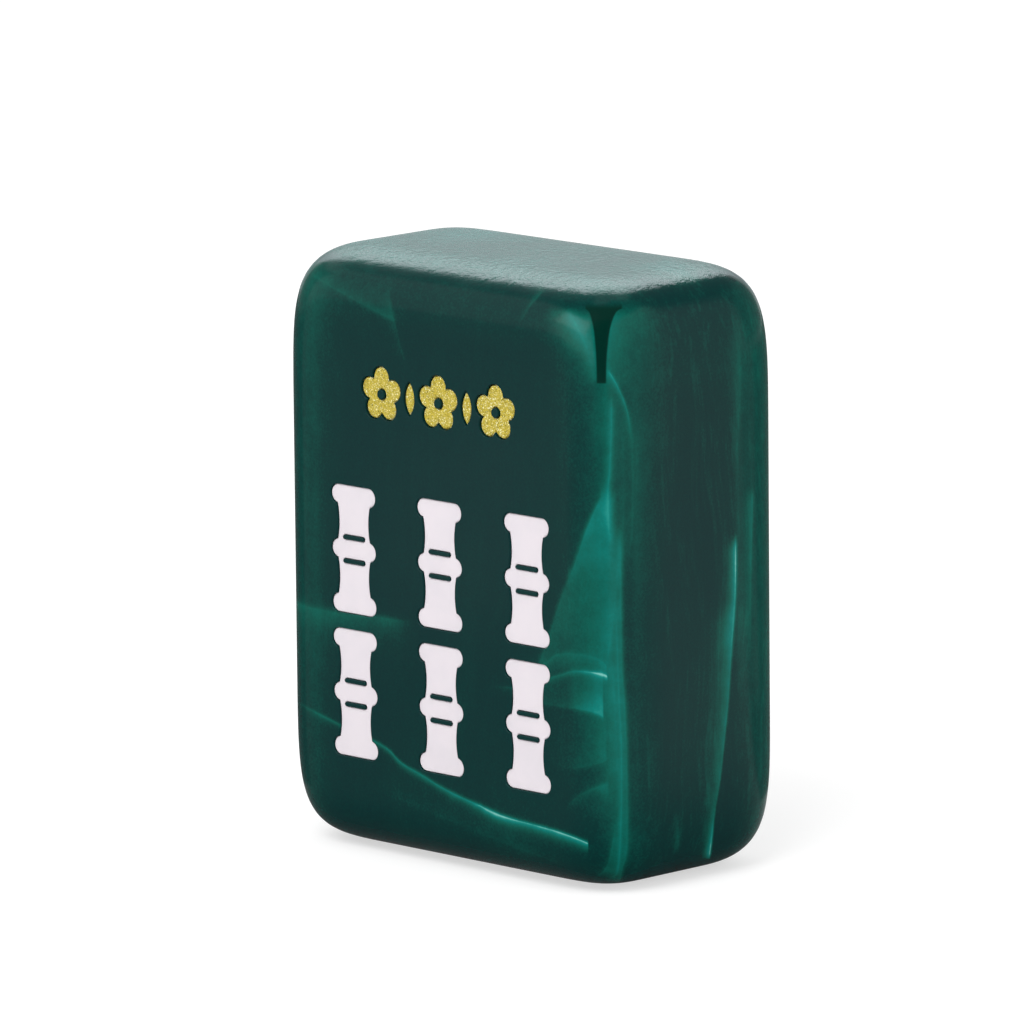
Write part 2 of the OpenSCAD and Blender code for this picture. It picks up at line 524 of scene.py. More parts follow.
VEILS = (
    (Side.FRONT, Course.ACROSS, FRONT_ACROSS),
    (Side.FRONT, Course.UP, FRONT_UP),
    (Side.EDGE, Course.UP, EDGE_UP),
    (Side.RIGHT, Course.UP, RIGHT_UP),
    (Side.RIGHT, Course.ACROSS, RIGHT_ACROSS),
)


@dataclass(frozen=True)
class PaintedDarkStrip:
    """Painted shade: a strip at the upper corner, coloured darkest, for the dark lamp gap that the
    rim mirrors.
    """

    left: Path = ((25.3, 3.25), (27.2, 3.19), (28.3, 3.04), (28.8, 2.75))
    right: Path = ((25.3, 3.7), (27.2, 3.8), (28.3, 4.03), (28.8, 4.5))
    flank: float = 0.05
    foot: float = 0.1
    head: float = 0.3

    def amount(self, graph: Graph, across: Wire, up: Wire) -> Wire:
        """1 inside the gap and 0 outside.

        Args:
            graph: Tree that the nodes go in.
            across: Place across the corner, in millimetres.
            up: Height above the floor, in millimetres.

        Returns:
            The share.
        """
        bottom, top = self.left[0][0], self.left[-1][0]
        from_left = (across - graph.follow(up, self.left)).rise(-self.flank, self.flank)
        from_right = (graph.follow(up, self.right) - across).rise(-self.flank, self.flank)
        return from_left * from_right * up.rise(bottom, bottom + self.foot) * up.rise(
            top + self.head, top)


@dataclass(frozen=True)
class Swirl:
    """Marbling of the whole block, drawn out along its height.

    Layers hold the waves per millimetre along each axis, and rises the values of the noise at
    which a layer starts and is full.
    """

    lean: Triple = (0.08, 0.08, 0.05)
    bend: float = 7.0
    broad: Triple = (0.16, 0.16, 0.06)
    broad_rise: Pair = (0.42, 0.75)
    broad_share: float = 0.03
    broad_hidden: float = 0.14
    fibres: Triple = (1.9, 1.9, 0.13)
    fibre_weight: float = 0.7
    fibre_rise: Pair = (0.45, 0.75)
    fibre_share: float = 0.055
    fibre_less: float = 0.04
    sheets: Triple = (0.11, 0.11, 0.05)
    sheet_thin: float = 60.0
    cover: Triple = (0.1, 0.1, 0.04)
    cover_rise: Pair = (0.45, 0.7)
    thread_share: float = 0.45

    def amount(self, graph: Graph, place: Arrow, near_front: Wire, hidden: Wire) -> Wire:
        """Share of pigment.

        Args:
            graph: Tree that the nodes go in.
            place: Place on the object in millimetres.
            near_front: 1 on the front, where the marbling is faint.
            hidden: 1 on the sides that carry no veils of their own.

        Returns:
            The share, from 0 up.
        """
        lean = graph.add("ShaderNodeTexNoise", {}, {"Vector": place * self.lean, "Scale": 1.0})
        bent = place + Arrow(graph, lean.outputs["Color"]) * (self.bend, self.bend, self.bend)
        broad = graph.noise(bent * self.broad, 1.0, 3.0).rise(*self.broad_rise)
        fibres = graph.noise(bent * self.fibres, 1.0, 3.0, self.fibre_weight).rise(*self.fibre_rise)
        sheet = ((graph.noise(bent * self.sheets, 1.0, 1.0) - 0.5).size() * self.sheet_thin).decay()
        cover = graph.noise(bent * self.cover, 1.0, 2.0).rise(*self.cover_rise)
        marbling = broad * self.broad_share + broad * hidden * self.broad_hidden
        threads = sheet * cover * hidden * self.thread_share
        return marbling + fibres * (self.fibre_share - near_front * self.fibre_less) + threads


@dataclass(frozen=True)
class CastResin:
    """Dark green cast resin with pearl pigment that swirled in it as it set, and painted light and
    shade in its colour.

    A pair with a place in its name says where that place starts and where it has fully come in,
    in millimetres.
    """

    stops: tuple[tuple[float, Triple], ...] = (
        (0.0, (0.0003, 0.0235, 0.024)),
        (0.05, (0.0003, 0.030, 0.0275)),
        (0.2, (0.0009, 0.088, 0.065)),
        (0.5, (0.0015, 0.175, 0.148)),
        (0.72, (0.014, 0.25, 0.215)),
        (1.0, (0.15, 0.46, 0.41)),
    )
    # colour of the painted dark reflection strip at the upper corner
    gap: Triple = (0.0002, 0.021, 0.0145)
    front_depth: Pair = (4.0, 2.4)
    front_end: Pair = (12.4, 11.5)
    right_depth: Pair = (2.2, 1.0)
    edge_depth: Pair = (-1.5, -2.5)
    edge_across: Pair = (6.0, 8.0)
    top_depth: Pair = (0.8, 0.1)
    high: Pair = (26.0, 28.0)
    front_haze: float = 0.012
    high_haze: float = 0.035
    top_painted_light: float = 0.18
    specks: Triple = (8.0, 2.0, 0.7)
    speck_share: float = 0.12
    mottles: Triple = (1.2, 3.0, 0.65)
    mottle: float = 0.4
    roughness: float = 0.13
    smears: Pair = (0.35, 2.0)
    smear: float = 0.08
    ior: float = 1.22
    waves: Relief = Relief(0.09, 1.0, 0.5, 0.03)
    grain: Relief = Relief(5.0, 2.0, 0.5, 0.002)
    pebbles: Relief = Relief(2.4, 4.0, 0.65, 0.09)

    def make(self, width: float, depth: float, height: float) -> bpy.types.Material:
        """Build the material.

        Args:
            width: Width of the tile in millimetres.
            depth: Thickness of the tile in millimetres.
            height: Height of the tile in millimetres.

        Returns:
            The material.
        """
        g = Graph("cast_resin")
        place = g.place()
        x, y, z = place.parts()
        top = z.rise(*(height - inset for inset in self.top_depth))
        # painted light: the top is coloured paler, for the light that falls on it from above
        pearl = self._pearl(g, place, width, depth) + top * self.top_painted_light
        pearl = pearl * (g.noise(place, *self.mottles) * (2 * self.mottle) + (1 - self.mottle))
        # painted shade: the dark reflection strip at the upper corner, coloured into the resin
        gap = PaintedDarkStrip().amount(g, (x + y) * DIAGONAL, z) * self._edge(x, y)
        colour = g.mix(gap, g.ramp(pearl, self.stops), self.gap)
        normal = g.skin(place, self.grain, g.skin(place, self.waves))
        lumps = self.pebbles.waves(g, place) * top
        return g.close(g.add("ShaderNodeBsdfPrincipled", {}, {
            "Base Color": colour, "IOR": self.ior,
            "Roughness": g.noise(place, *self.smears) * self.smear + self.roughness,
            "Normal": g.bump(lumps, self.pebbles.height, normal)}))

    def _edge(self, x: Wire, y: Wire) -> Wire:
        """1 about the rim between the front and the right side."""
        return y.rise(*self.edge_depth) * x.rise(*self.edge_across)

    def _pearl(self, g: Graph, place: Arrow, width: float, depth: float) -> Wire:
        """Pearl pigment of the swirl, the haze and the veils, among them painted glows and a
        painted highlight.

        Args:
            g: Tree that the nodes go in.
            place: Place on the object in millimetres.
            width: Width of the tile in millimetres.
            depth: Thickness of the tile in millimetres.

        Returns:
            The share of pigment.
        """
        x, y, z = place.parts()
        near_front = y.rise(*(inset - depth / 2 for inset in self.front_depth))
        near_right = x.rise(*(width / 2 - inset for inset in self.right_depth))
        pearl = Swirl().amount(g, place, near_front, 1.0 - near_front.at_least(near_right))
        pearl = pearl + near_front * (z.rise(*self.high) * self.high_haze + self.front_haze)
        pearl = pearl + (g.noise(place, *self.specks) - 0.5) * self.speck_share
        round_rim = x + y
        along_front = round_rim + depth / 2
        places = {
            Side.FRONT: (along_front, near_front * along_front.rise(*self.front_end)),
            Side.EDGE: (round_rim * DIAGONAL, self._edge(x, y)),
            Side.RIGHT: (round_rim - width / 2, near_right),
        }
        for side, course, veils in VEILS:
            across, where = places[side]
            along, beside = (across, z) if course is Course.ACROSS else (z, across)
            for veil in veils:
                pearl = pearl + veil.amount(g, along, beside) * where
        return pearl


@dataclass(frozen=True)
class PaleEnamel:
    """Off-white gloss enamel, poured into the engraved marks."""

    light: Triple = (0.76, 0.705, 0.745)
    shade: Triple = (0.70, 0.66, 0.705)
    clouds: Pair = (0.6, 3.0)
    cloud_rise: Pair = (0.35, 0.75)
    cloud_share: float = 0.5
    roughness: float = 0.3
    ior: float = 1.4
    ripple: Relief = Relief(0.9, 1.0, 0.5, 0.02)
    grain: Relief = Relief(9.0, 2.0, 0.5, 0.0015)

    def make(self) -> bpy.types.Material:
        """Build the material.

        Returns:
            The material.
        """
        g = Graph("pale_enamel")
        place = g.place()
        cloud = g.noise(place, *self.clouds).rise(*self.cloud_rise) * self.cloud_share
        return g.close(g.add("ShaderNodeBsdfPrincipled", {}, {
            "Base Color": g.mix(cloud, self.light, self.shade), "Roughness": self.roughness,
            "IOR": self.ior, "Normal": g.skin(place, self.grain, g.skin(place, self.ripple))}))


@dataclass(frozen=True)
class GoldGlitter:
    """Yellow gold paint of fine flakes, the palest painted as sparkle; at the rim of each pool,
    painted shade and sparkle.
    """

    stops: tuple[tuple[float, Triple], ...] = (
        (0.0, (0.27, 0.23, 0.02)),
        (0.24, (0.62, 0.49, 0.05)),
        (0.84, (0.62, 0.49, 0.05)),
        # painted sparkle: the palest flakes
        (0.95, (0.97, 0.93, 0.5)),
    )
    flakes: float = 22.0
    flake_depth: float = 0.03
    rim: Pair = (0.02, 0.5)
    rim_middle: float = 0.45
    rim_shade_and_sparkle: float = 0.8
    metal_rise: Pair = (0.35, 0.95)
    metal: float = 0.7
    roughness: float = 0.38
    ior: float = 1.45
    lumps: Relief = Relief(2.2, 3.0, 0.6, 0.06)

    def make(self) -> bpy.types.Material:
        """Build the material.

        Returns:
            The material.
        """
        g = Graph("gold_glitter")
        place = g.place()
        flake = g.add("ShaderNodeTexVoronoi", {}, {"Vector": place, "Scale": self.flakes})
        shade, tilt, _ = Arrow(g, flake.outputs["Color"]).parts()
        facing = Arrow(g, g.add("ShaderNodeNewGeometry").outputs["True Normal"]).parts()[1]
        rim = (1.0 + facing).rise(*self.rim)
        # painted shade and sparkle: on the sloping rim of each pool the flake tones spread darker
        # and paler
        flakes_and_painted_sparkle = shade + rim * (shade - self.rim_middle) * self.rim_shade_and_sparkle
        height = Wire(g, flake.outputs["Distance"]) * tilt
        return g.close(g.add("ShaderNodeBsdfPrincipled", {}, {
            "Base Color": g.ramp(flakes_and_painted_sparkle, self.stops), "Roughness": self.roughness,
            "Metallic": tilt.rise(*self.metal_rise) * self.metal, "IOR": self.ior,
            "Normal": g.bump(height, self.flake_depth, g.skin(place, self.lumps))}))


# Shapes

class Mark(NamedTuple):
    """A point of an outline on the face, and the direction away from the filled side."""

    across: float
    up: float
    out_across: float
    out_up: float

    def moved(self, across: float, up: float) -> "Mark":
        """The same point, shifted."""
        return Mark(self.across + across, self.up + up, self.out_across, self.out_up)

    def opposite(self) -> "Mark":
        """The point after half a turn about the middle."""
        return Mark(-self.across, -self.up, -self.out_across, -self.out_up)

    def inwards(self) -> "Mark":
        """The same point, facing the filled side."""
        return Mark(self.across, self.up, -self.out_across, -self.out_up)


Outline = list[Mark]


def arc(middle: Pair, radius: float, start: float, end: float, steps: int,
        hollow: bool = False) -> Outline:
    """Part of a circle.

    Args:
        middle: Centre of the circle.
        radius: Radius of the circle.
        start: First angle in degrees.
        end: Last angle in degrees.
        steps: Number of steps between them.
        hollow: True where the filled side is outside the circle.

    Returns:
        The points from start to end.
    """
    sign = -1.0 if hollow else 1.0
    marks = []
    for step in range(steps + 1):
        c, s = cos_sin(start + (end - start) * step / steps)
        marks.append(Mark(middle[0] + radius * c, middle[1] + radius * s, sign * c, sign * s))
    return marks


def crossing(first: Pair, first_r: float, second: Pair, second_r: float) -> Pair:
    """Point where two circles cross, on the left of the line from the first to the second.

    Args:
        first: Centre of the first circle.
        first_r: Its radius.
        second: Centre of the second circle.
        second_r: Its radius.

    Returns:
        The point.
    """
    dx, dy = second[0] - first[0], second[1] - first[1]
    apart = hypot(dx, dy)
    along = (first_r**2 - second_r**2 + apart**2) / (2 * apart)
    aside = sqrt(first_r**2 - along**2)
    dx, dy = dx / apart, dy / apart
    return first[0] + along * dx - aside * dy, first[1] + along * dy + aside * dx


def soft_quarter(angle: float, power: float) -> Pair:
    """Point of a quarter turn that is fuller than a circle.

    Args:
        angle: Angle in degrees, from 0 to 90.
        power: 2 for a circle, more for a fuller turn.

    Returns:
        The point, at a distance of 1 where the turn starts and ends.
    """
    c, s = (max(part, 0.0) for part in cos_sin(angle))
    size = (c**power + s**power) ** (-1 / power)
    return c * size, s * size


def lip_levels(start: float, widen: float, level: float, steps: int) -> list[Triple]:
    """Levels of a soft lip between a wall and a flat top.

    Args:
        start: Growth of the outline at the wall.
        widen: Radius of the lip, below 0 where the outline narrows towards the top.
        level: Depth of the top.
        steps: Number of steps of the lip.

    Returns:
        Growth, depth and lean of the normals at each level, from the wall up.
    """
    levels = []
    for step in range(steps + 1):
        lean = 90.0 * step / steps
        c, s = cos_sin(lean)
        levels.append((start + widen * (1 - c), level + abs(widen) * (1 - s), lean))
    return levels


def ring(loop: Outline, level: float, lean: float) -> list[Corner]:
    """Outline at one depth, with normals that lean from 0, outwards, to 90, straight ahead."""
    c, s = cos_sin(lean)
    return [((m.across, level, m.up), (m.out_across * c, -s, m.out_up * c)) for m in loop]


class Shell:
    """Collects faces, each with its own corner normals, and turns them into one mesh."""

    def __init__(self) -> None:
        """Start empty."""
        self.numbers: dict[Triple, int] = {}
        self.faces: list[list[int]] = []
        self.normals: list[Triple] = []

    def face(self, corners: Sequence[Corner]) -> None:
        """Add a face, turned the way its normals point.

        Args:
            corners: Point and normal of each corner.
        """
        kept: list[tuple[int, Triple]] = []
        for point, normal in corners:
            key = tuple(round(value, SAME_PLACE) for value in point)
            number = self.numbers.setdefault(key, len(self.numbers))
            if not any(number == other for other, _ in kept):
                kept.append((number, normal))
        if len(kept) < 3:
            return
        points = [Vector(point) for point, _ in corners]
        middle = sum(points, Vector()) / len(points)
        spokes = [point - middle for point in points]
        turn = sum((a.cross(b) for a, b in zip(spokes, spokes[1:] + spokes[:1])), Vector())
        lean = sum((Vector(normal) for _, normal in corners), Vector())
        if turn.dot(lean) < 0:
            kept.reverse()
        self.faces.append([number for number, _ in kept])
        self.normals.extend(normal for _, normal in kept)

    def loft(self, rings: Sequence[Sequence[Corner]]) -> None:
        """Join closed rings with quads.

        Args:
            rings: Rings with the same number of points.
        """
        for lower, upper in zip(rings, rings[1:]):
            for here in range(len(lower)):
                there = (here + 1) % len(lower)
                self.face((lower[here], lower[there], upper[there], upper[here]))

    def plate(self, loops: Sequence[Outline], level: float, normal: Triple) -> None:
        """Fill a flat outline that may have holes.

        Args:
            loops: The outer outline, then the holes.
            level: Depth of the plate.
            normal: Direction that it faces.
        """
        lines, flat = [], []
        for loop in loops:
            line: list[Pair] = []
            for mark in loop:
                spot = (round(mark.across, SAME_PLACE), round(mark.up, SAME_PLACE))
                if not line or spot not in (line[-1], line[0]):
                    line.append(spot)
            lines.append([Vector((across, up, 0.0)) for across, up in line])
            flat.extend(line)
        for corners in tessellate_polygon(lines):
            self.face([((flat[n][0], level, flat[n][1]), normal) for n in corners])

    def mesh(self, name: str) -> bpy.types.Mesh:
        """Make the mesh, in metres.

        Args:
            name: Name of the mesh.

        Returns:
            The mesh, smooth with its own normals.
        """
        data = bpy.data.meshes.new(name)
        points = [tuple(value * MM for value in point) for point in self.numbers]
        data.from_pydata(points, [], self.faces)
        data.shade_smooth()
        data.normals_split_custom_set([Vector(normal).normalized() for normal in self.normals])
        data.validate()
        return data


def show(name: str, data: bpy.types.ID) -> bpy.types.Object:
    """Put a mesh, a lamp or a camera in the scene.

    Args:
        name: Name of the object.
        data: What the object shows.

    Returns:
        The object.
    """
    thing = bpy.data.objects.new(name, data)
    bpy.context.scene.collection.objects.link(thing)
    return thing


@dataclass
class Piece:
    """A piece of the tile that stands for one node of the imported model."""

    node: str
    slot: str

    def dress(self, name: str, mesh: bpy.types.Mesh, material: bpy.types.Material) -> None:
        """Make the object and tie it to the tile.

        Args:
            name: Name of the piece.
            mesh: Its shape.
            material: Its finish.
        """
        mesh.materials.append(material)
        piece = show(name, mesh)
        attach(piece, BODY)
        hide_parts(self.node)
        log.info("%s: %d faces", piece.name, len(piece.data.polygons))


@dataclass
class Inlay(Piece):
    """A pool of paint in one engraved mark of the face."""

    floor: float = 0.0
    top: float = 0.0
    middle: Pair = (0.0, 0.0)
    lip: float = 0.06
    lip_steps: int = 4

    def __post_init__(self) -> None:
        """Take the place and the depth of the fill from the frame."""
        low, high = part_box(self.node)
        self.floor, self.top = high.y / MM, low.y / MM
        self.middle = ((low.x + high.x) / 2 / MM, (low.z + high.z) / 2 / MM)
        self.across, self.up = (high.x - low.x) / MM, (high.z - low.z) / MM

    def outlines(self, grow: float) -> list[Outline]:
        """Outline of the fill, widened by grow, then of the bare islands, about its own middle."""
        raise NotImplementedError

    def placed(self, grow: float) -> list[Outline]:
        """The outlines at their place on the face."""
        return [[mark.moved(*self.middle) for mark in loop] for loop in self.outlines(grow)]

    def build(self, material: bpy.types.Material) -> None:
        """Make the fill, with a soft lip round its top.

        Args:
            material: Finish of the fill.
        """
        shell = Shell()
        levels = [(0.0, self.floor, 0.0)] + lip_levels(0.0, -self.lip, self.top, self.lip_steps)
        for number in range(len(self.outlines(0.0))):
            shell.loft([
                ring(self.placed(grow)[number], level, lean) for grow, level, lean in levels])
        shell.plate(self.placed(-self.lip), self.top, FLAT_FRONT)
        shell.plate(self.placed(0.0), self.floor, FLAT_BACK)
        self.dress("paint_" + self.node, shell.mesh(self.node), material)


@dataclass
class BambooStick(Inlay):
    """A stick of bamboo: three knots with hollowed cane between them."""

    slot: str = "pale_enamel"
    knot_h: float = 0.95
    cane_w: float = 2.6
    waist_w: float = 2.1
    slot_l: float = 1.5
    slot_w: float = 0.24
    arc_steps: int = 16

    def outlines(self, grow: float) -> list[Outline]:
        """Outline of the stick and of its two slots.

        Args:
            grow: How far the fill is widened.

        Returns:
            The outer outline, then the slots.
        """
        pitch = (self.up - self.knot_h) / 2
        hollow = (self.cane_w - self.waist_w) / 2
        hollow_r = (pitch**2 / 4 + hollow**2) / (2 * hollow)
        knot_x, knot_r = (self.across - self.knot_h) / 2, self.knot_h / 2
        cane_x = self.waist_w / 2 + hollow_r
        x, y = crossing((knot_x, 0.0), knot_r + grow, (cane_x, pitch / 2), hollow_r - grow)
        knot_end = degrees(atan2(y, x - knot_x))
        cane_end = degrees(atan2(pitch / 2 - y, cane_x - x))
        flank: Outline = []
        for knot in (-1, 0, 1):
            start = -90.0 if knot == -1 else -knot_end
            end = 90.0 if knot == 1 else knot_end
            flank += arc((knot_x, knot * pitch), knot_r + grow, start, end, self.arc_steps)
            if knot < 1:
                flank += arc((cane_x, (knot + 0.5) * pitch), hollow_r - grow, 180.0 + cane_end,
                             180.0 - cane_end, self.arc_steps, True)
        return [flank + [mark.opposite() for mark in flank]] + [
            self._slot(half, grow) for half in (-1, 1)]

    def _slot(self, half: int, grow: float) -> Outline:
        """Slot above or below the middle knot.

        Args:
            half: 1 for the upper slot, -1 for the lower one.
            grow: How far the fill is widened.

        Returns:
            The outline of the bare island.
        """
        up, reach = half * (self.knot_h + self.slot_w) / 2, (self.slot_l - self.slot_w) / 2
        radius = self.slot_w / 2 - grow
        right = arc((reach, up), radius, -90.0, 90.0, self.arc_steps, True)
        return right + arc((-reach, up), radius, 90.0, 270.0, self.arc_steps, True)


@dataclass
class Blossom(Inlay):
    """A plum blossom of round petals about a bare dot.

    Past an even lip, a share of the narrowing towards the top draws the petals together instead
    of making them thinner, so that the notches between them stay open.
    """

    slot: str = "gold_glitter"
    lip: float = 0.14
    lip_steps: int = 7
    even_lip: float = 0.05
    pull_share: float = 0.67
    petal_r: float = 0.56
    petals: int = 5
    eye_r: float = 0.26
    petal_steps: int = 18
    eye_steps: int = 24

    def outlines(self, grow: float) -> list[Outline]:
        """Outline of the blossom and of its eye.

        Args:
            grow: How far the fill is widened.

        Returns:
            The outer outline, then the eye.
        """
        turns = [90.0 + petal * 360.0 / self.petals for petal in range(self.petals)]
        lowest = max(-cos_sin(turn)[1] for turn in turns)
        full_reach = (self.up - 2 * self.petal_r) / (1 + lowest)
        drop = self.up / 2 - full_reach - self.petal_r
        pulled = max(-grow - self.even_lip, 0.0) * self.pull_share
        reach, radius = full_reach - pulled, self.petal_r + grow + pulled
        half = pi / self.petals
        notch = reach * cos(half) + sqrt(radius**2 - (reach * sin(half)) ** 2)
        spread = degrees(atan2(notch * sin(half), notch * cos(half) - reach))
        outer: Outline = []
        for turn in turns:
            c, s = cos_sin(turn)
            outer += arc((reach * c, reach * s), radius, turn - spread, turn + spread,
                         self.petal_steps)
        eye = arc((0.0, 0.0), self.eye_r - grow, 0.0, 360.0, self.eye_steps, True)[:-1]
        return [[mark.moved(0.0, drop) for mark in loop] for loop in (outer, eye)]


@dataclass
class Bud(Inlay):
    """A pointed bud between two blossoms."""

    slot: str = "gold_glitter"
    lip: float = 0.12
    lip_steps: int = 7
    flank_steps: int = 16

    def outlines(self, grow: float) -> list[Outline]:
        """Outline of the bud.

        Args:
            grow: How far the fill is widened.

        Returns:
            The outer outline alone.
        """
        radius = (self.up**2 + self.across**2) / (4 * self.across)
        back = radius - self.across / 2
        spread = degrees(acos(back / (radius + grow)))
        right = arc((-back, 0.0), radius + grow, -spread, spread, self.flank_steps)
        return [right + [mark.opposite() for mark in right]]


@dataclass
class Block(Piece):
    """The cast block: soft rims, bulging corners, and a pocket under every fill."""

    node: str = "tile_body"
    slot: str = "cast_resin"
    rim_in: float = 2.97
    rim_deep: float = 4.2
    rim_power: float = 2.62
    corner_across: float = 6.39
    corner_up: float = 8.99
    corner_power: float = 4.78
    corner_even: float = 0.5
    gap: float = 0.01
    pocket_lip: float = 0.05
    lip_steps: int = 4
    corner_steps: int = 44
    rim_steps: int = 20
    inlays: list[Inlay] = field(default_factory=list)

    def __post_init__(self) -> None:
        """Take the size of the block from the frame."""
        low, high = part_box(self.node)
        self.width, self.depth, self.height = (value / MM for value in high - low)

    def outline(self, inset: float) -> Outline:
        """Outline of the block, seen from the front.

        Args:
            inset: Distance inside the widest outline.

        Returns:
            The outline.
        """
        reach_a, reach_u = self.corner_across - inset, self.corner_up - inset
        marks: Outline = []
        for side_a, side_u in ((1, 1), (-1, 1), (-1, -1), (1, -1)):
            corner: Outline = []
            for step in range(self.corner_steps + 1):
                way = 2 * step / self.corner_steps - 1
                way = self.corner_even * way + (1 - self.corner_even) * way**3
                a, u = soft_quarter(45 + 45 * way, self.corner_power)
                steep = self.corner_power - 1
                out = Vector((a**steep / reach_a, u**steep / reach_u)).normalized()
                corner.append(Mark(
                    side_a * (self.width / 2 - self.corner_across + reach_a * a),
                    self.height / 2 + side_u * (self.height / 2 - self.corner_up + reach_u * u),
                    side_a * out.x, side_u * out.y))
            marks += corner if side_a * side_u > 0 else corner[::-1]
        return marks

    def rim(self, facing: int) -> list[list[Corner]]:
        """Rings of the soft rim, from the flat face out to the side.

        Args:
            facing: -1 for the front rim, 1 for the back rim.

        Returns:
            The rings.
        """
        rings = []
        steep = self.rim_power - 1
        for step in range(self.rim_steps + 1):
            u, v = soft_quarter(90 - 90 * step / self.rim_steps, self.rim_power)
            level = facing * (self.depth / 2 - self.rim_deep * (1 - v))
            inset = self.rim_in * (1 - u)
            corners = []
            for mark in self.outline(inset):
                out = u**steep / (self.rim_in * self._bulge(mark, inset))
                along = facing * v**steep / self.rim_deep
                normal = Vector((mark.out_across * out, along, mark.out_up * out)).normalized()
                corners.append(((mark.across, level, mark.up), tuple(normal)))
            rings.append(corners)
        return rings

    def _bulge(self, mark: Mark, inset: float) -> float:
        """How much a corner moves outwards for each step of inset.

        Args:
            mark: Point of an outline.
            inset: Inset of that outline.

        Returns:
            1 on a straight side, more in a corner.
        """
        across = max(abs(mark.across) - self.width / 2 + self.corner_across, 0.0)
        up = max(abs(mark.up - self.height / 2) - self.height / 2 + self.corner_up, 0.0)
        across, up = across / (self.corner_across - inset), up / (self.corner_up - inset)
        return abs(mark.out_across) * across + abs(mark.out_up) * up

    def build(self, material: bpy.types.Material) -> None:
        """Make the block.

        Args:
            material: Finish of the block.
        """
        shell = Shell()
        shell.loft(self.rim(-1) + self.rim(1)[::-1])
        face, edge = -self.depth / 2, self.outline(self.rim_in)
        for inlay in self.inlays:
            self._cut(shell, inlay, face)
        openings = [inlay.placed(self.gap + self.pocket_lip)[0] for inlay in self.inlays]
        shell.plate([edge] + openings, face, FLAT_FRONT)
        shell.plate([edge], -face, FLAT_BACK)
        self.dress("cast_block", shell.mesh("cast_block"), material)

    def _cut(self, shell: Shell, inlay: Inlay, face: float) -> None:
        """Wall, floor and islands of one pocket.

        Args:
            shell: Mesh under construction.
            inlay: Fill that the pocket holds.
            face: Depth of the front face.
        """
        levels = lip_levels(self.gap, self.pocket_lip, face, self.lip_steps)[::-1]
        levels.append((self.gap, inlay.floor, 0.0))
        for number in range(len(inlay.outlines(0.0))):
            shell.loft([
                ring([mark.inwards() for mark in inlay.placed(grow)[number]], level, lean)
                for grow, level, lean in levels])
        shell.plate(inlay.placed(self.gap), inlay.floor, FLAT_FRONT)
        for island in inlay.placed(self.gap + self.pocket_lip)[1:]:
            shell.plate([island], face, FLAT_FRONT)


# Studio

def direction(azimuth: float, elevation: float) -> Vector:
    """Unit vector, in degrees from straight in front towards the right and above the floor."""
    (ct, st), (ce, se) = cos_sin(azimuth), cos_sin(elevation)
    return Vector((st * ce, -ct * ce, se))


def aim(thing: bpy.types.Object, target: Vector, way: Vector, distance: float) -> None:
    """Hang a lamp or a panel so that it faces the tile.

    Args:
        thing: The lamp or the panel.
        target: Point that it faces, in metres.
        way: Direction from that point.
        distance: Distance from it, in millimetres.
    """
    thing.location = target + way * distance * MM
    thing.rotation_euler = way.to_track_quat("Z", "Y").to_euler()


def sheet(name: str, points: Sequence[Triple], faces: Sequence[tuple[int, ...]],
          material: bpy.types.Material, only_in_gloss: bool = True) -> bpy.types.Object:
    """Sheet of the studio, which is no part of the tile.

    Args:
        name: Name of the sheet.
        points: Its corners in metres.
        faces: Its faces.
        material: Its finish.
        only_in_gloss: True to hide it from everything but reflections.

    Returns:
        The sheet.
    """
    mesh = bpy.data.meshes.new(name)
    mesh.from_pydata([tuple(point) for point in points], [], list(faces))
    mesh.materials.append(material)
    card = show(name, mesh)
    if only_in_gloss:
        for kind in ("camera", "diffuse", "shadow", "transmission"):
            setattr(card, "visible_" + kind, False)
    return card


def rectangle(half: float, low: float, high: float) -> list[Triple]:
    """Corners of a flat sheet about its middle."""
    return [(-half, low, 0.0), (half, low, 0.0), (half, high, 0.0), (-half, high, 0.0)]


@dataclass(frozen=True)
class Softbox:
    """A square soft light that points at the tile; lengths are in millimetres."""

    name: str
    azimuth: float
    elevation: float
    size: float
    watts: float
    distance: float = 800.0

    def build(self, target: Vector) -> None:
        """Hang the light.

        Args:
            target: Point that it faces, in metres.
        """
        lamp = bpy.data.lights.new(self.name, "AREA")
        lamp.size, lamp.energy = self.size * MM, self.watts
        holder = show(self.name, lamp)
        aim(holder, target, direction(self.azimuth, self.elevation), self.distance)
        holder.visible_glossy = False


@dataclass(frozen=True)
class Card:
    """A card or a lamp round the tile, seen only in its gloss.

    Its lower and its upper edge are each given by first azimuth, last azimuth, distance from the
    middle of the tile and height, in degrees and millimetres. Level is its brightness, 1 for white.
    """

    name: str
    low: tuple[float, float, float, float]
    high: tuple[float, float, float, float]
    level: float
    tint: Triple = WHITE
    steps: int = 24

    def build(self) -> None:
        """Hang the card."""
        g = Graph(self.name)
        glow = g.add("ShaderNodeEmission", {}, {"Color": self.tint, "Strength": self.level})
        points, faces = [], []
        for step in range(self.steps + 1):
            for first, last, distance, height in (self.low, self.high):
                way = direction(first + (last - first) * step / self.steps, 0.0) * distance
                points.append((way.x * MM, way.y * MM, height * MM))
            if step:
                corner = 2 * step
                faces.append((corner - 2, corner, corner + 1, corner - 1))
        sheet(self.name, points, faces, g.close(glow))


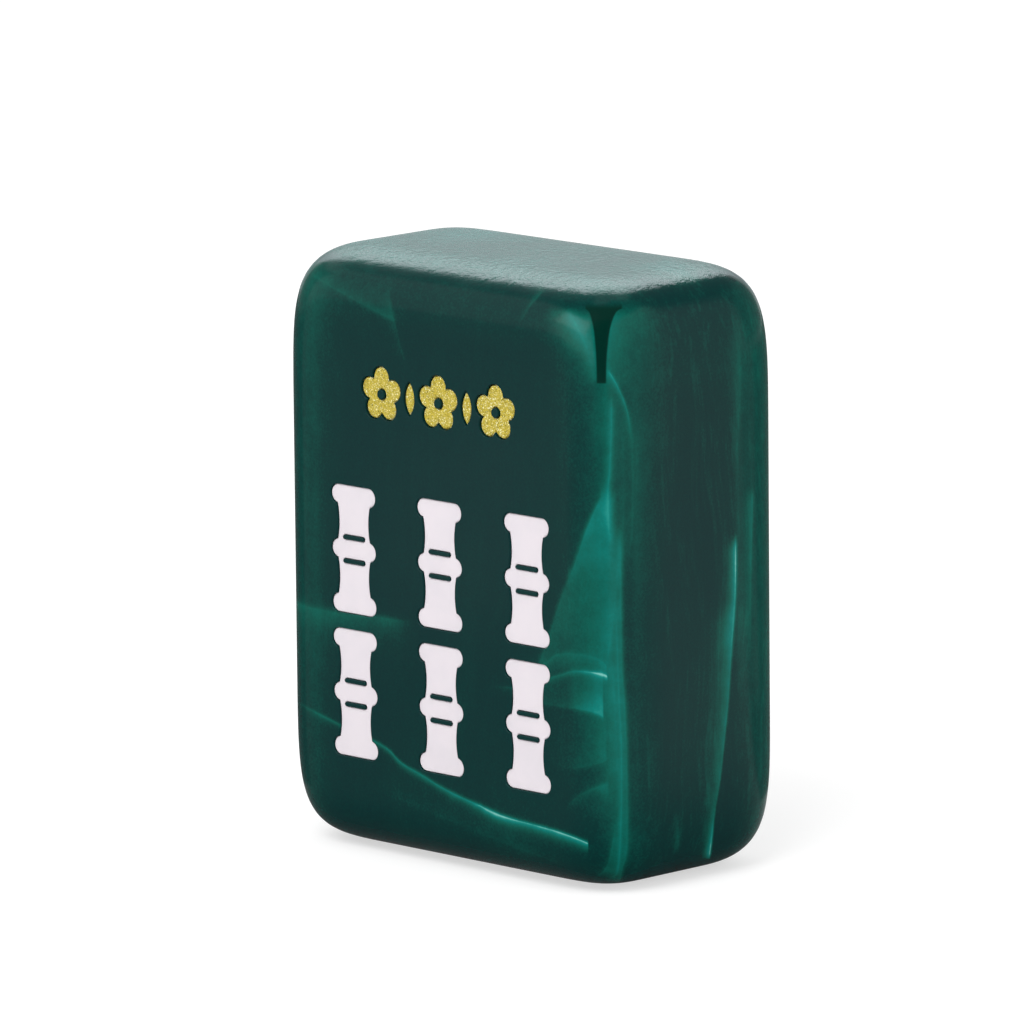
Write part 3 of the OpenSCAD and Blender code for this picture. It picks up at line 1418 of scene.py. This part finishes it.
@dataclass(frozen=True)
class GlowPanel:
    """A tall soft panel behind the tile, which its upper rims and its top mirror.

    Half width, below and above are shares of the distance, which is in millimetres.
    """

    azimuth: float = -132.0
    elevation: float = 38.0
    distance: float = 500.0
    half_width: float = 0.475
    below: float = 0.445
    above: float = 0.6
    strength: float = 10.0
    tint: Triple = (0.98, 1.03, 1.09)
    levels: Path = (
        (0.0, 0.096), (0.2, 0.224), (0.33, 0.352), (0.43, 0.552), (0.53, 0.704), (0.64, 0.9),
        (1.0, 1.0))

    def build(self, target: Vector) -> None:
        """Hang the panel, with its glow growing upwards.

        Args:
            target: Point that it faces, in metres.
        """
        reach = self.distance * MM
        g = Graph("glow_panel")
        up = Arrow(g, g.add("ShaderNodeTexCoord").outputs["Object"]).parts()[1]
        share = (up / reach + self.below) / (self.below + self.above)
        glow = g.ramp(share, (
            (where, tuple(level * part for part in self.tint)) for where, level in self.levels))
        light = g.add("ShaderNodeEmission", {}, {"Color": glow, "Strength": self.strength})
        corners = rectangle(self.half_width * reach, -self.below * reach, self.above * reach)
        panel = sheet("glow_panel", corners, [(0, 1, 2, 3)], g.close(light))
        aim(panel, target, direction(self.azimuth, self.elevation), self.distance)


@dataclass
class Studio:
    """White paper, soft lights, the cards that the gloss mirrors, and the photograph's camera.

    Lengths are in millimetres. The paper has one look for the camera, a plain one that lights the
    tile, and one for the gloss: brighter on the right, with a painted glint and a painted contact
    shadow.
    """

    azimuth: float = 45.1284
    elevation: float = 10.304
    roll: float = -0.5411
    target: Triple = (-1.31, 0.0, 17.01)
    distance: float = 540.0
    focal_pixels: float = 10964.0
    clip_end: float = 20.0
    sky: float = 0.78
    floor_reach: float = 3.0
    paper: float = 0.85
    paper_glow: float = 0.6
    paper_shade: float = 0.5
    mirrored_front: float = 0.6
    mirrored_right: float = 1.2
    mirrored_turn: Pair = (-60.0, 20.0)
    mirrored_slope: float = 0.5
    # painted glint: a brighter patch of paper in the gloss, which the right side mirrors
    glint_patch: float = 0.6
    patch_ahead: tuple[Pair, Pair] = ((60.0, 90.0), (150.0, 130.0))
    patch_aside: tuple[Pair, Pair] = ((-1.0, 4.0), (13.0, 7.0))
    # painted contact shadow in the gloss: half sizes of the foot, its strength and its reach
    foot: Pair = (8.8, 2.2)
    painted_contact_shadow: float = 0.98
    contact_reach: float = 26.0
    lights: tuple[Softbox, ...] = (
        Softbox("key", 20.0, 48.0, 400.0, 2.8),
        Softbox("fill", 97.0, 30.0, 400.0, 0.6),
        Softbox("side", -35.0, 42.0, 500.0, 0.3),
    )
    cards: tuple[Card, ...] = (
        Card("gap", (26.0, 51.0, 350.0, 0.5), (16.0, 76.0, 350.0, 378.0), 0.0),
        Card("gap_floor", (23.0, 54.0, 70.0, 0.5), (23.0, 54.0, 350.0, 0.5), 0.5),
        Card("ceiling", (-104.0, 150.0, 380.0, 372.0), (-104.0, 150.0, 70.0, 430.0), 0.23),
        Card("low_box", (-38.0, 27.0, 385.0, 36.0), (-38.0, 22.0, 385.0, 151.0), 1.8),
        Card("high_box", (-38.0, 8.0, 380.0, 151.0), (-38.0, 18.0, 380.0, 347.0), 4.5),
        Card("back_ring", (-209.0, -62.0, 18.0, 0.5), (-209.0, -62.0, 420.0, 0.5), 0.16),
        Card("side_ring", (-223.0, -209.0, 50.0, 0.5), (-223.0, -209.0, 420.0, 0.5), 0.5),
        Card("side_foot", (-223.0, -209.0, 18.0, 0.5), (-223.0, -209.0, 50.0, 0.5), 0.2),
        Card("back_ceiling", (-216.0, -160.0, 590.0, 421.0), (-216.0, -160.0, 400.0, 700.0), 0.25),
        Card("back_wall", (-160.0, -105.0, 600.0, 0.5), (-160.0, -105.0, 600.0, 170.0), 0.72,
             (0.87, 0.98, 1.02)),
        Card("right_wall", (-216.0, -165.0, 590.0, 0.5), (-216.0, -165.0, 590.0, 420.0), 0.3),
        Card("left_wall", (-100.0, -66.0, 590.0, 0.5), (-100.0, -66.0, 590.0, 420.0), 0.3),
    )

    def build(self) -> None:
        """Set up the whole studio."""
        target = Vector(self.target) * MM
        self._camera()
        self._sky()
        self._floor()
        GlowPanel().build(target)
        for card in self.cards:
            card.build()
        for light in self.lights:
            light.build(target)
        bpy.context.scene.view_settings.view_transform = "Standard"

    def _camera(self) -> None:
        """Camera at the photograph's angle."""
        data = bpy.data.cameras.new("camera")
        data.sensor_width = SENSOR_WIDTH
        data.lens = self.focal_pixels * SENSOR_WIDTH / IMAGE_WIDTH
        data.clip_end = self.clip_end
        back = direction(self.azimuth, self.elevation)
        right = Vector((*cos_sin(self.azimuth), 0.0))
        up = back.cross(right)
        c, s = cos_sin(self.roll)
        turn = Matrix((right * c + up * s, up * c - right * s, back)).transposed().to_4x4()
        place = (Vector(self.target) + back * self.distance) * MM
        camera = show("camera", data)
        camera.matrix_world = Matrix.Translation(place) @ turn
        bpy.context.scene.camera = camera

    def _sky(self) -> None:
        """Even surroundings, pure white to the camera and in the gloss."""
        world = bpy.data.worlds.new("surroundings")
        g = Graph("surroundings", world)
        seen = g.rays("Camera", "Glossy", "Transmission")
        colour = g.mix(seen, (self.sky, self.sky, self.sky), WHITE)
        glow = g.add("ShaderNodeBackground", {}, {"Color": colour, "Strength": 1.0})
        g.add("ShaderNodeOutputWorld", {}, {"Surface": glow})
        bpy.context.scene.world = world

    def _floor(self) -> None:
        """White paper under the tile."""
        g = Graph("white_paper")
        camera, mirror = g.rays("Camera"), g.rays("Glossy", "Transmission")
        lit, shade = (g.add("ShaderNodeBsdfDiffuse", {}, {"Color": (grey, grey, grey)})
                      for grey in (self.paper, self.paper_shade))
        glow = g.add("ShaderNodeEmission", {}, {"Strength": self.paper_glow})
        bright = g.add("ShaderNodeAddShader", {}, {0: shade, 1: glow})
        level = g.mix(self._mirrored(g), BLACK, WHITE)
        mirrored = g.add("ShaderNodeEmission", {}, {"Color": level, "Strength": 1.0})
        plain = g.add("ShaderNodeMixShader", {}, {0: mirror, 1: lit, 2: mirrored})
        paper = g.add("ShaderNodeMixShader", {}, {0: camera, 1: plain, 2: bright})
        corners = rectangle(self.floor_reach, -self.floor_reach, self.floor_reach)
        sheet("floor", corners, [(0, 1, 2, 3)], g.close(paper), only_in_gloss=False)

    def _mirrored(self, g: Graph) -> Wire:
        """Brightness of the paper in the gloss, with a painted glint and a painted contact shadow.

        Args:
            g: Tree that the nodes go in.

        Returns:
            The brightness, 1 for white.
        """
        x, y, _ = g.place().parts()
        right = (x * self.mirrored_slope + y).rise(*self.mirrored_turn)
        level = right * (self.mirrored_right - self.mirrored_front) + self.mirrored_front
        # painted glint: a brighter patch of paper that the right side mirrors
        glint_patch: Value = self.glint_patch
        for axis, sides in (((x + y) * -DIAGONAL, self.patch_ahead),
                            ((x - y) * DIAGONAL, self.patch_aside)):
            for start, full in sides:
                glint_patch = axis.rise(start, full) * glint_patch
        # painted contact shadow: the paper in the gloss darkens towards the foot of the tile
        out_x, out_y = ((axis.size() - reach).at_least(0.0)
                        for axis, reach in zip((x, y), self.foot))
        away = (out_x * out_x + out_y * out_y) ** 0.5
        return (level + glint_patch) * (1.0 - (away / self.contact_reach).decay() * self.painted_contact_shadow)


def make_inlays() -> list[Inlay]:
    """Every fill of the face.

    Returns:
        The sticks, the blossoms and the buds.
    """
    columns = ("left", "middle", "right")
    sticks = [BambooStick("stick_%s_%s" % (row, column))
              for row in ("top", "bottom") for column in columns]
    blossoms = [Blossom("blossom_" + column) for column in columns]
    return sticks + blossoms + [Bud("bud_" + side) for side in ("left", "right")]


def main() -> None:
    """Build the studio, the block and its fills."""
    logging.basicConfig(level=logging.INFO, format="%(message)s")
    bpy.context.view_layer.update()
    Studio().build()
    inlays = make_inlays()
    block = Block(inlays=inlays)
    block.build(CastResin().make(block.width, block.depth, block.height))
    finishes = {"pale_enamel": PaleEnamel().make(), "gold_glitter": GoldGlitter().make()}
    for inlay in inlays:
        inlay.build(finishes[inlay.slot])


if __name__ == "__main__":
    main()
